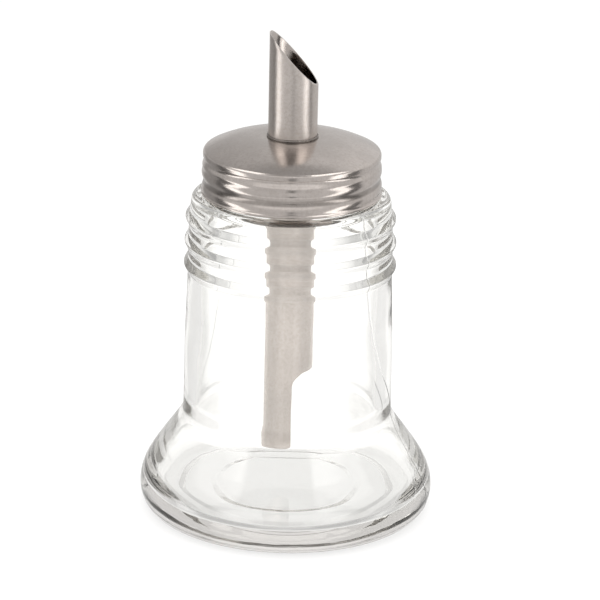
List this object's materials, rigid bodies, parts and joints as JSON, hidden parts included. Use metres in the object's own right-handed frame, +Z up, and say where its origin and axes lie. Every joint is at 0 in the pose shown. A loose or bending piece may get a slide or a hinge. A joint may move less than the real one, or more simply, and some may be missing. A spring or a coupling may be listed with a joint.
{
  "type": "sugar pourer",
  "caption": "Bell-shaped clear glass sugar pourer with a ringed neck, a steel screw cap and a fixed metering tube: slanted spout above, open scoop below.",
  "frame": {"origin": "centre of the plane the jar stands on", "axes": "+Z up along the jar's axis, +X towards the low side of the spout and the open side of the scoop"},
  "size_m": [0.0882, 0.0882, 0.1458],
  "materials": {
    "glass": "clear pressed glass, faintly wavy",
    "cap_steel": "polished stainless steel with fine scuffs",
    "tube_steel": "satin stainless steel, drawn lengthwise",
    "ring_steel": "bright pressed steel",
    "seal": "soft translucent plastic"
  },
  "bodies": {
    "jar": {"glass_jar": "glass"},
    "seal": {"seal_ring": "seal"},
    "washer": {"retaining_washer": "ring_steel"},
    "cap": {"cap_shell": "cap_steel", "metering_tube": "tube_steel", "tube_collar": "ring_steel"}
  },
  "joints": [
    {"name": "lift_off", "type": "slide", "parent": "jar", "child": "seal", "axis": [0, 0, 1], "range_m": [0, 0.095]},
    {"name": "cap_rise", "type": "slide", "parent": "seal", "child": "washer", "axis": [0, 0, 1], "range_m": [0, 0.0061]},
    {"name": "cap_turn", "type": "hinge", "parent": "washer", "child": "cap", "pos_m": [0, 0, 0.1], "axis": [0, 0, 1], "range_deg": [0, 450]}
  ],
  "couplings": [
    {"joint": "cap_rise", "follows": "cap_turn", "m_per_rad": 0.00076394}
  ]
}
